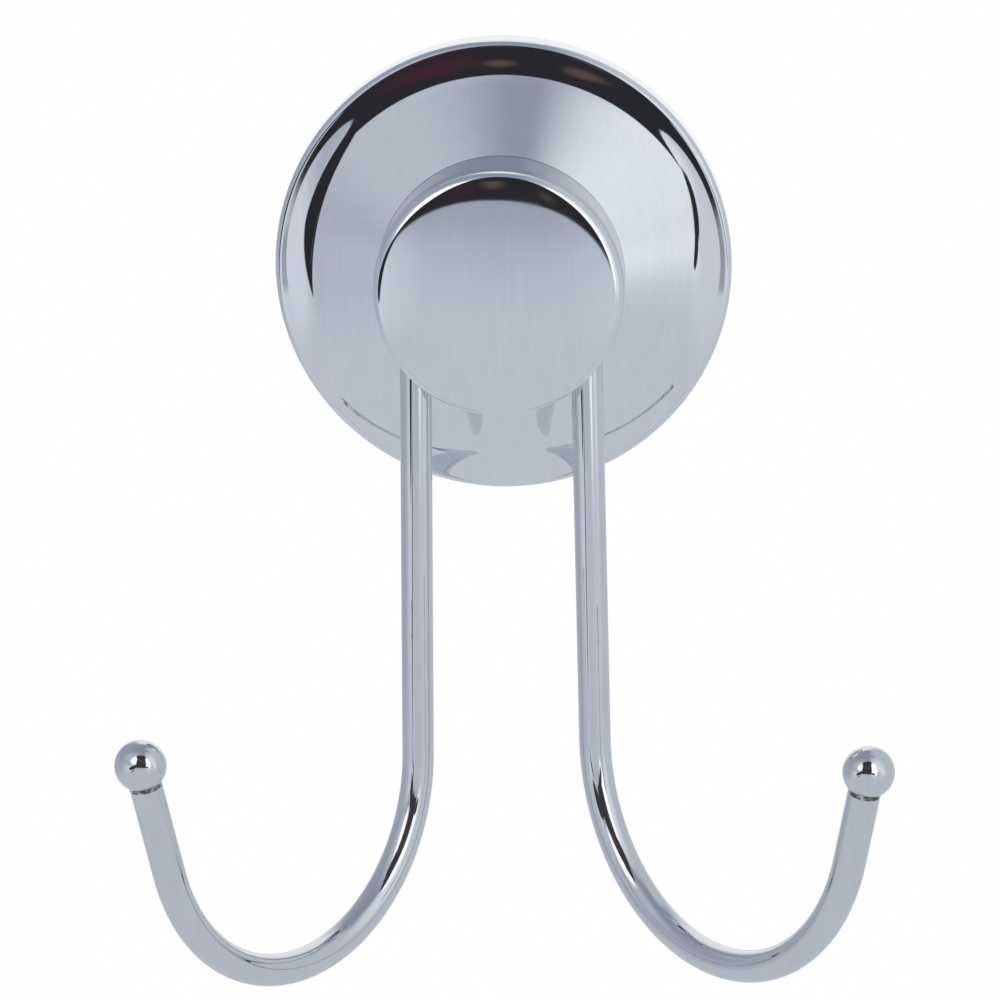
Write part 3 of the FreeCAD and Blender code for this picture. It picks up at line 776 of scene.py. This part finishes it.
@shader_group("polish waves", {"Place": None, "Wave Count": 90.0, "Ripple Share": 0.2}, ["Height"])
def polish_waves_group(group, given, out):
    """Faint unevenness that a polishing wheel leaves: long waves and a finer ripple."""
    place, count = given["Place"], given["Wave Count"]
    ripple = noise(group, place, calculate(group, "MULTIPLY", count, 5.0), 2.0)
    fine = calculate(group, "MULTIPLY", ripple, given["Ripple Share"])
    feed(group, out["Height"], calculate(group, "ADD", noise(group, place, count, 1.0), fine))


@shader_group("hairlines", {"Place": None, "Rarity": 0.66}, ["Mask"])
def hairlines_group(group, given, out):
    """Sparse hairline scratches that run along the first map direction."""
    place, rarity = given["Place"], given["Rarity"]
    lines = noise(group, place, 1.0, 2.0, 0.3)
    patches = noise(group, stretched(group, place, 0.15, 0.01, 0.15), 1.0, 1.0)
    sharp = ramp(group, lines, rarity, calculate(group, "ADD", rarity, 0.06))
    feed(group, out["Mask"], calculate(group, "MULTIPLY", sharp, ramp(group, patches, 0.45, 0.7)))


@shader_group("brushing", {"Place": None, "Coarse": 380.0}, ["Mask"])
def brushing_group(group, given, out):
    """Faint parallel streaks left by the polishing brush."""
    place = stretched(group, given["Place"], 1.0, 1.0, 0.07)
    fine = noise(group, place, calculate(group, "MULTIPLY", given["Coarse"], 4.0), 2.0)
    broad = calculate(group, "MULTIPLY", noise(group, place, given["Coarse"], 2.0), 0.45)
    both = calculate(group, "MULTIPLY_ADD", fine, 0.55, broad)
    feed(group, out["Mask"], ramp(group, both, 0.34, 0.66))


@shader_group("handling film", {"Place": None, "Patch Count": 60.0, "Cover": 0.5}, ["Mask", "Specks"])
def handling_film_group(group, given, out):
    """Thin film of handling: soft cloudy patches with small specks in them."""
    place, count = given["Place"], given["Patch Count"]
    limit = calculate(group, "SUBTRACT", 1.0, given["Cover"])
    clouds = noise(group, place, count, 5.0, 0.6)
    mask = ramp(group, clouds, limit, calculate(group, "ADD", limit, 0.3))
    dots = add_node(group, "ShaderNodeTexVoronoi", vector=place,
                    scale=calculate(group, "MULTIPLY", count, 14.0))
    specks = ramp(group, dots.outputs["Distance"], 0.05, 0.09, 1.0, 0.0)
    feed(group, out["Mask"], mask)
    feed(group, out["Specks"], calculate(group, "MULTIPLY", specks, mask))


def new_material(name):
    """New material with its node tree and its main shader."""
    material = bpy.data.materials.new(name)
    material.use_nodes = True
    return material, material.node_tree, material.node_tree.nodes["Principled BSDF"]


def built_once(make):
    """Let the pieces share a material: the function makes it only if its name is new."""
    def get_material(name, *given):
        return bpy.data.materials.get(name) or make(name, *given)
    return get_material


def object_place(tree):
    """Place on a piece, in metres from the origin."""
    return tree.nodes.new("ShaderNodeTexCoord").outputs["Object"]


def map_place(tree):
    """Place on a piece's map."""
    node = tree.nodes.new("ShaderNodeUVMap")
    node.uv_map = "metres"
    return node.outputs["UV"]


@built_once
def chrome(name, tone, metallic, hairline_place, hairline_scale, wave_count):
    """Polished chrome plate: mirror with faint waves, hairlines, a little handling film and tone."""
    finish = settings().finish
    material, tree, shader = new_material(name)
    place = object_place(tree)
    line_place = stretched(tree, hairline_place(tree), *hairline_scale)
    waves = place_group(tree, polish_waves_group(), place=place, wave_count=wave_count).outputs["Height"]
    lines = place_group(tree, hairlines_group(), place=line_place).outputs["Mask"]
    film = place_group(tree, handling_film_group(), place=place).outputs
    streaks = place_group(tree, brushing_group(), place=place).outputs["Mask"]
    dulled = [part * finish.dulled for part in tone]
    share = calculate(tree, "MULTIPLY", film["Mask"], finish.film)
    share = calculate(tree, "MULTIPLY_ADD", streaks, finish.brushing, share)
    toned = blend_colour(tree, share, tone, dulled)
    rough = finish.roughness
    for mask, added in ((film["Mask"], finish.film_roughness), (lines, finish.hairline_roughness),
                        (film["Specks"], finish.speck_roughness)):
        rough = calculate(tree, "MULTIPLY_ADD", mask, added, rough)
    bump = add_node(tree, "ShaderNodeBump", height=waves, distance=finish.wave_height)
    scratch = add_node(tree, "ShaderNodeBump", height=lines, strength=0.5, distance=finish.scratch_depth,
                       normal=bump.outputs["Normal"])
    scratch.invert = True
    fill(tree, shader, base_color=blend_colour(tree, film["Specks"], toned, finish.speck),
         metallic=metallic, roughness=rough, normal=scratch.outputs["Normal"])
    return material


def chrome_material():
    """Chrome of the turned pieces, with hairlines that run round the axis."""
    return chrome("polished chrome", settings().finish.tone, 1.0, map_place, (14.0, 5200.0, 1.0), 70.0)


def chrome_wire_material():
    """Chrome of the rod and balls, with hairlines along the draw direction, and a darker tone than the
    plate's that is painted shade for the rod's dimmer reflections.
    """
    return chrome("chromed wire", settings().finish.wire_tone_with_painted_shade, 0.97, map_place, (420.0, 30.0, 1.0), 120.0)


def cast_chrome_material():
    """Chrome of the cast boss, with hairlines round it and coarser polishing waves."""
    return chrome("cast chrome", settings().finish.tone, 1.0, object_place, (60.0, 1800.0, 60.0), 110.0)


@built_once
def plated_steel(name, tone, roughness, grain_scale):
    """Plated steel with crystalline blotches, fine grain and darker rubbed patches."""
    material, tree, shader = new_material(name)
    place = object_place(tree)
    film = place_group(tree, handling_film_group(), place=place, patch_count=90.0, cover=0.6)
    blotches = noise(tree, place, grain_scale, 4.0, 0.4)
    pale = [min(1.0, part * STEEL_PALE) for part in tone]
    dark = [part * STEEL_DARK for part in tone]
    base = blend_colour(tree, ramp(tree, blotches, 0.3, 0.7), dark, pale)
    rubbed = calculate(tree, "MULTIPLY", film.outputs["Mask"], 0.4)
    waves = place_group(tree, polish_waves_group(), place=place, wave_count=grain_scale, ripple_share=0.6)
    bump = add_node(tree, "ShaderNodeBump", height=waves.outputs["Height"], distance=12.0e-6)
    fill(tree, shader, base_color=blend_colour(tree, rubbed, base, tone), metallic=1.0,
         roughness=calculate(tree, "MULTIPLY_ADD", blotches, 0.18, roughness - 0.09),
         normal=bump.outputs["Normal"])
    return material


def zinc_material():
    """Satin zinc-plated steel."""
    return plated_steel("zinc plate", settings().finish.zinc, 0.36, 420.0)


def screw_material():
    """Brighter passivated screw steel."""
    return plated_steel("screw steel", settings().finish.screw, 0.28, 900.0)


@built_once
def tarnished_braze(name):
    """Braze metal that shows through thin plate, browner where it is tarnished."""
    finish = settings().finish
    material, tree, shader = new_material(name)
    patches = noise(tree, object_place(tree), 900.0, 4.0, 0.5)
    bump = add_node(tree, "ShaderNodeBump", height=patches, distance=25.0e-6)
    plated = ramp(tree, patches, 0.42, 0.72)
    # the plated part of the braze takes the rod's chrome tone, which is darkened as painted shade
    fill(tree, shader, base_color=blend_colour(tree, plated, finish.braze, finish.wire_tone_with_painted_shade), metallic=1.0,
         roughness=ramp(tree, patches, 0.3, 0.7, 0.42, 0.16), normal=bump.outputs["Normal"])
    return material


def braze_material():
    """Braze between the rod and its balls."""
    return tarnished_braze("tarnished braze")


# Studio

def camera_back(studio):
    """Direction from the hook towards the camera."""
    azimuth, elevation = studio.azimuth, studio.elevation
    return Vector((math.sin(azimuth) * math.cos(elevation), -math.cos(azimuth) * math.cos(elevation),
                   math.sin(elevation)))


@shader_group("soft window", {"Azimuth": 0.0, "Elevation": 0.0, "Across": 0.0, "Up": 0.0,
                              "Half Width": 20.0, "Half Height": 20.0, "Tilt": 0.0, "Squareness": 3.0,
                              "Softness": 0.1}, ["Mask"])
def soft_window_group(group, given, out):
    """Soft-edged rounded patch of the surroundings, in degrees across and up."""
    across = calculate(group, "SUBTRACT", given["Azimuth"], given["Across"])
    up = calculate(group, "SUBTRACT", given["Elevation"], given["Up"])
    turn = calculate(group, "RADIANS", given["Tilt"])
    cosine, sine = calculate(group, "COSINE", turn), calculate(group, "SINE", turn)
    along = calculate(group, "MULTIPLY_ADD", across, cosine, calculate(group, "MULTIPLY", up, sine))
    beside = calculate(group, "SUBTRACT", calculate(group, "MULTIPLY", up, cosine),
                       calculate(group, "MULTIPLY", across, sine))
    parts = []
    for offset, half in ((along, "Half Width"), (beside, "Half Height")):
        share = calculate(group, "ABSOLUTE", calculate(group, "DIVIDE", offset, given[half]))
        parts.append(calculate(group, "POWER", share, given["Squareness"]))
    root = calculate(group, "DIVIDE", 1.0, given["Squareness"])
    reach = calculate(group, "POWER", calculate(group, "ADD", *parts), root)
    inner = calculate(group, "SUBTRACT", 1.0, given["Softness"])
    outer = calculate(group, "ADD", 1.0, given["Softness"])
    feed(group, out["Mask"], ramp(group, reach, inner, outer, 1.0, 0.0))


def studio_world():
    """Plain white surroundings."""
    world = bpy.data.worlds.new("white studio")
    world.use_nodes = True
    world.node_tree.nodes["Background"].inputs["Color"].default_value = (*WHITE, 1.0)
    return world


def room_lights(patch):
    """Red and warm lights in the room, seen through the opening."""
    red = patch(-13.0, 19.0, 6.0, 9.0, squareness=2.0, softness=0.8)
    middle = patch(-3.0, 27.0, 3.0, 4.5, squareness=2.0, softness=0.6)
    side = patch(10.5, 18.0, 2.8, 6.5, tilt=-12.0, squareness=2.0, softness=0.6)
    return red, patch.largest(middle, side)


def flange_figure(patch):
    """Dark opening of the tent as the wide flange sees it."""
    dome = patch(-3.5, 5.0, 38.5, 38.0, squareness=2.15, softness=0.02)
    shoulder = patch(-49.0, 5.0, 18.5, 10.3, tilt=32.0, squareness=2.5, softness=0.05)
    left_leg = patch(-58.0, -5.0, 15.0, 10.5, tilt=62.0, softness=0.04)
    left_end = patch(0.0, -9.0, 65.1, 40.5, squareness=2.0, softness=0.01)
    left_low = patch(-38.4, -24.0, 40.0, 20.0, tilt=43.0, squareness=6.0, softness=0.04)
    right_arm = patch(43.0, 1.3, 11.5, 2.4, tilt=-30.0, softness=0.12)
    right_leg = patch(54.6, -6.5, 6.6, 2.0, tilt=-40.0, softness=0.12)
    left_board = patch(-34.5, -5.0, 10.5, 18.0, tilt=-18.0, squareness=2.3, softness=0.03)
    right_board = patch(29.2, -4.0, 9.4, 16.0, tilt=8.0, squareness=2.1, softness=0.03)
    left = patch.without(patch.share(left_end, patch.largest(shoulder, left_leg)), left_low)
    fading = patch.share(patch.height(-14.9, -13.4), patch.height(-12.0, -4.0, 0.45, 1.0))
    dark = patch.largest(patch.share(dome, fading), left)
    dark = patch.without(dark, patch.largest(left_board, right_board))
    return patch.largest(dark, right_arm, right_leg), None, *room_lights(patch)


def cap_figure(patch):
    """Dark opening and the bright windows beside it as the cap sees them."""
    dome = patch(1.5, 20.0, 20.5, 33.0, squareness=3.5, softness=0.04)
    arm = patch(-38.0, -2.0, 26.0, 10.0, tilt=15.0, squareness=2.5, softness=0.06)
    front = patch(-2.5, -14.4, 22.5, 20.8, squareness=2.2, softness=0.012)
    windows = patch.largest(patch(-34.0, 27.0, 19.0, 19.0, squareness=2.5, softness=0.15),
                            patch(33.0, 17.0, 14.0, 27.0, squareness=2.5, softness=0.15))
    red = patch.share(patch(-9.2, 8.0, 2.6, 1.2, tilt=20.0, squareness=2.0, softness=0.8), 0.55)
    middle = patch(-3.0, 9.4, 1.9, 0.75, squareness=2.0, softness=0.8)
    side = patch(6.9, 7.0, 1.5, 0.6, tilt=-30.0, squareness=2.0, softness=0.8)
    glow = patch.largest(middle, patch.share(side, 0.6))
    return patch.without(patch.largest(dome, arm), front), windows, red, glow


def rod_figure(patch):
    """Dark opening and the bright windows beside it as the rod and the balls see them."""
    dome = patch(0.5, 22.0, 19.5, 28.0, squareness=4.0, softness=0.04)
    top = patch(0.5, 40.0, 25.0, 9.0, squareness=4.0, softness=0.06)
    arm = patch(-28.5, -3.5, 15.0, 5.5, tilt=30.0, squareness=2.5, softness=0.06)
    foot = patch(23.0, -3.5, 7.0, 3.0, tilt=-25.0, squareness=2.5, softness=0.1)
    leg = patch(-29.4, -14.9, 7.8, 1.6, tilt=40.0, softness=0.45)
    front = patch(-1.0, -15.0, 21.0, 12.5, squareness=2.0, softness=0.04)
    dark = patch.largest(patch.without(patch.largest(dome, top, arm, foot), front), leg)
    windows = patch.largest(patch(-29.0, 23.0, 14.0, 16.0, tilt=-35.0, squareness=2.5, softness=0.2),
                            patch(28.0, 14.0, 12.0, 24.0, squareness=2.5, softness=0.15))
    return dark, windows, *room_lights(patch)


class TentPainter:
    """Masks and colours over the directions seen from the middle of the tent."""

    def __init__(self, tree):
        self.tree = tree
        aim = tree.nodes.new("ShaderNodeVectorMath")
        aim.operation = "NORMALIZE"
        feed(tree, aim.inputs[0], object_place(tree))
        direction = add_node(tree, "ShaderNodeSeparateXYZ", vector=aim.outputs[0]).outputs
        forward = calculate(tree, "MULTIPLY", direction["Y"], -1.0)
        self.azimuth = calculate(tree, "DEGREES", calculate(tree, "ARCTAN2", direction["X"], forward))
        self.elevation = calculate(tree, "DEGREES", calculate(tree, "ARCSINE", direction["Z"]))

    def __call__(self, across, up, half_width, half_height, **more):
        """Mask of one rounded patch, in degrees."""
        node = place_group(self.tree, soft_window_group(), azimuth=self.azimuth, elevation=self.elevation,
                           across=across, up=up, half_width=half_width, half_height=half_height, **more)
        return node.outputs["Mask"]

    def height(self, low, high, *levels):
        """Mask that changes from one elevation to another."""
        return ramp(self.tree, self.elevation, low, high, *levels)

    def share(self, first, second):
        """Where two masks overlap, or a mask at part of its strength."""
        return calculate(self.tree, "MULTIPLY", first, second)

    def without(self, mask, hole):
        """Mask with another cut out of it."""
        return self.share(mask, calculate(self.tree, "SUBTRACT", 1.0, hole))

    def largest(self, *masks):
        """All the masks in one."""
        total = masks[0]
        for mask in masks[1:]:
            total = calculate(self.tree, "MAXIMUM", total, mask)
        return total

    def paint(self, base, mask, tone):
        """Colour with a mask of another tone painted over it."""
        return blend_colour(self.tree, mask, base, tone)


def tent_material(name, figure, clear, back_top):
    """Light tent as polished metal sees it: pale walls and board, greyer roof, a dark opening in front."""
    material, tree, shader = new_material(name)
    tree.nodes.remove(shader)
    material.cycles.emission_sampling = "NONE"
    patch = TentPainter(tree)
    tent = settings().tent
    upper = patch.paint(tent.wall, patch.height(25.0, 75.0), tent.roof)
    upper = patch.paint(upper, patch(-42.0, 29.0, 34.0, 24.0, tilt=22.0, squareness=2.0, softness=0.6),
                        tent.left_wall)
    upper = patch.paint(upper, patch(105.0, 14.0, 50.0, 60.0, squareness=2.0, softness=0.3), tent.right_wall)
    upper = patch.paint(upper, patch(46.0, 12.0, 26.0, 43.0, squareness=2.0, softness=0.6), tent.bright_wall)

    # the board is paler on both sides, where the windows light it, and duller below the opening
    lower = tent.table
    for tone, shape, squareness, softness in (
            (tent.table_shade, (-2.0, 6.0, 26.0, 13.0), 2.0, 0.8),
            (tent.table_left, (-42.0, -8.0, 21.0, 13.0), 2.5, 0.35),
            (tent.table_right, (44.0, -10.0, 26.0, 13.0), 2.5, 0.45),
            (tent.left_shade, (-108.0, -4.0, 42.0, 30.0), 2.0, 0.5)):
        lower = patch.paint(lower, patch(*shape, squareness=squareness, softness=softness), tone)
    tones = patch.paint(upper, patch.height(8.0, -4.0), lower)
    tones = patch.paint(tones, patch(60.0, -3.0, 9.0, 9.0, squareness=2.0, softness=0.8), tent.bright_wall)
    behind = patch.share(ramp(tree, calculate(tree, "ABSOLUTE", patch.azimuth), 140.0, 168.0),
                         patch.share(patch.height(back_top, back_top - 14.0), patch.height(-24.0, -8.0)))
    tones = patch.paint(tones, behind, WHITE)

    dark, windows, red, glow = figure(patch)
    if windows:
        tones = patch.paint(tones, windows, WINDOW_TONE)
    room = patch.paint(tent.opening, patch.share(red, ROOM_STRENGTH), tent.room_red)
    room = patch.paint(room, patch.share(glow, ROOM_STRENGTH), tent.room_glow)
    result = add_node(tree, "ShaderNodeEmission", color=patch.paint(tones, dark, room)).outputs[0]
    if clear:
        both = tree.nodes.new("ShaderNodeAddShader")
        feed(tree, both.inputs[0], result)
        feed(tree, both.inputs[1], tree.nodes.new("ShaderNodeBsdfTransparent").outputs[0])
        result = both.outputs[0]
    fill(tree, tree.nodes["Material Output"], surface=result)
    return material


def stage_form(name, form, material):
    """Put a form in the scene as a part of the studio."""
    mesh = bpy.data.meshes.new(name)
    form.to_mesh(mesh)
    form.free()
    mesh.materials.append(material)
    piece = bpy.data.objects.new(name, mesh)
    bpy.context.scene.collection.objects.link(piece)
    piece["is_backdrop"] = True
    return piece


def add_tent(name, radius, figure, clear, back_top, receivers):
    """Round light tent that only shows as a reflection in the given pieces."""
    form = bmesh.new()
    bmesh.ops.create_uvsphere(form, u_segments=TENT_SEGMENTS, v_segments=TENT_RINGS, radius=radius)
    tent = stage_form(name, form, tent_material(name, figure, clear, back_top))
    tent.visible_camera = False
    tent.visible_diffuse = False
    tent.visible_shadow = False
    group = bpy.data.collections.new(name)
    for receiver in receivers:
        group.objects.link(receiver)
    tent.light_linking.receiver_collection = group


def floor_material():
    """Pale matt board that is white where the camera or a polished piece sees its far part."""
    material, tree, shader = new_material("pale board")
    tree.nodes.remove(shader)
    place = object_place(tree)
    tone = settings().tent.table
    darker, paler = [[part * level for part in tone] for level in BOARD_LEVELS]
    board_tone = blend_colour(tree, noise(tree, place, 3.0, 4.0), darker, paler)
    matt = add_node(tree, "ShaderNodeBsdfDiffuse", color=board_tone)
    spot = add_node(tree, "ShaderNodeSeparateXYZ", vector=place).outputs
    squares = [calculate(tree, "POWER", spot[axis], 2.0) for axis in "XY"]
    reach = calculate(tree, "SQRT", calculate(tree, "ADD", *squares))
    rays = tree.nodes.new("ShaderNodeLightPath").outputs
    near = calculate(tree, "MULTIPLY", rays["Is Camera Ray"], ramp(tree, reach, 0.1, 0.8, 0.8, 1.0))
    seen = calculate(tree, "MAXIMUM", rays["Is Glossy Ray"], rays["Is Transmission Ray"])
    far = calculate(tree, "MULTIPLY", seen, ramp(tree, spot["Y"], 1.5, 5.0))
    mix = tree.nodes.new("ShaderNodeMixShader")
    shaders = matt.outputs[0], tree.nodes.new("ShaderNodeEmission").outputs[0]
    for socket, given in zip(mix.inputs, (calculate(tree, "MAXIMUM", near, far), *shaders)):
        feed(tree, socket, given)
    fill(tree, tree.nodes["Material Output"], surface=mix.outputs[0])
    return material


def add_floor():
    """Round floor board well below the hook."""
    studio = settings().studio
    form = bmesh.new()
    bmesh.ops.create_circle(form, cap_ends=True, segments=FLOOR_SEGMENTS, radius=studio.floor_radius)
    floor = stage_form("studio_floor", form, floor_material())
    floor.location.z = cad_low[2] - studio.floor_drop


class ROBE_OT_studio(bpy.types.Operator):
    """Camera, light tents and floor"""
    bl_idname = "robe.studio"
    bl_label = "Studio"

    def execute(self, context):
        scene = context.scene
        studio = settings().studio
        scene.view_settings.view_transform = "Standard"
        camera = bpy.data.cameras.new("studio_camera")
        camera.sensor_width = SENSOR_MM
        camera.lens = studio.focal_px * SENSOR_MM / IMAGE_SIZE_PX
        camera.clip_start, camera.clip_end = CLIP_START, CLIP_END
        holder = bpy.data.objects.new("studio_camera", camera)
        scene.collection.objects.link(holder)
        back = camera_back(studio)
        holder.location = Vector((studio.aim_x, 0.0, studio.aim_z)) + back * studio.distance
        holder.rotation_mode = "QUATERNION"
        holder.rotation_quaternion = (-back).to_track_quat("-Z", "Y")
        scene.camera = holder
        scene.world = studio_world()
        add_floor()

        # each group of pieces sees its own tent, and the widest of them closes the view
        pieces = {piece.name: piece for piece in list(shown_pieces()) + list(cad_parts.values())}
        rods = [piece for name, piece in pieces.items() if name.startswith(("bent_rod", "tip_"))]
        caps = [piece for name, piece in pieces.items() if name.startswith("boss_cap")]
        rest = [piece for piece in pieces.values() if piece not in rods + caps]
        radius = studio.tent_radius
        add_tent("rod_tent", radius, rod_figure, True, BALL_BACK_TOP, rods)
        add_tent("cap_tent", radius * (1 + TENT_STEP), cap_figure, True, BACK_TOP, caps)
        add_tent("flange_tent", radius * (1 + 2 * TENT_STEP), flange_figure, False, BACK_TOP, rest)
        return {"FINISHED"}


class ROBE_PT_panel(bpy.types.Panel):
    """Lists the steps that dress and light the hook"""
    bl_idname = "ROBE_PT_panel"
    bl_label = "Robe hook"
    bl_space_type = "VIEW_3D"
    bl_region_type = "UI"
    bl_category = "Robe hook"

    def draw(self, context):
        for step in STEPS:
            self.layout.operator(step.bl_idname)


GROUPS = (FlangeSizes, CapSizes, WireSizes, ArmSizes, ChromeFinish, StudioSettings, TentColours,
          RobeHookSettings)
STEPS = (ROBE_OT_flange, ROBE_OT_boss, ROBE_OT_cap, ROBE_OT_hook_wire, ROBE_OT_balls, ROBE_OT_fixings,
         ROBE_OT_studio)


def register():
    for item in (*GROUPS, *STEPS, ROBE_PT_panel):
        bpy.utils.register_class(item)
    bpy.types.Scene.robe_hook = bpy.props.PointerProperty(type=RobeHookSettings)


def unregister():
    del bpy.types.Scene.robe_hook
    for item in reversed((*GROUPS, *STEPS, ROBE_PT_panel)):
        bpy.utils.unregister_class(item)


def set_left_arm():
    """The left arm is bent a little differently from the right one."""
    arm = settings().left_arm
    arm.side = -1
    arm.splay = math.radians(-0.33)
    arm.shank = 78.15 * MM
    arm.bend = 30.0 * MM
    arm.swing = math.radians(51.0)
    arm.turn = math.radians(161.95)
    arm.tip = 19.95 * MM


def main():
    register()
    set_left_arm()
    bpy.ops.robe.flange()
    bpy.ops.robe.boss()
    bpy.ops.robe.cap()
    bpy.ops.robe.hook_wire()
    bpy.ops.robe.balls()
    bpy.ops.robe.fixings()
    bpy.ops.robe.studio()


if __name__ == "__main__":
    main()
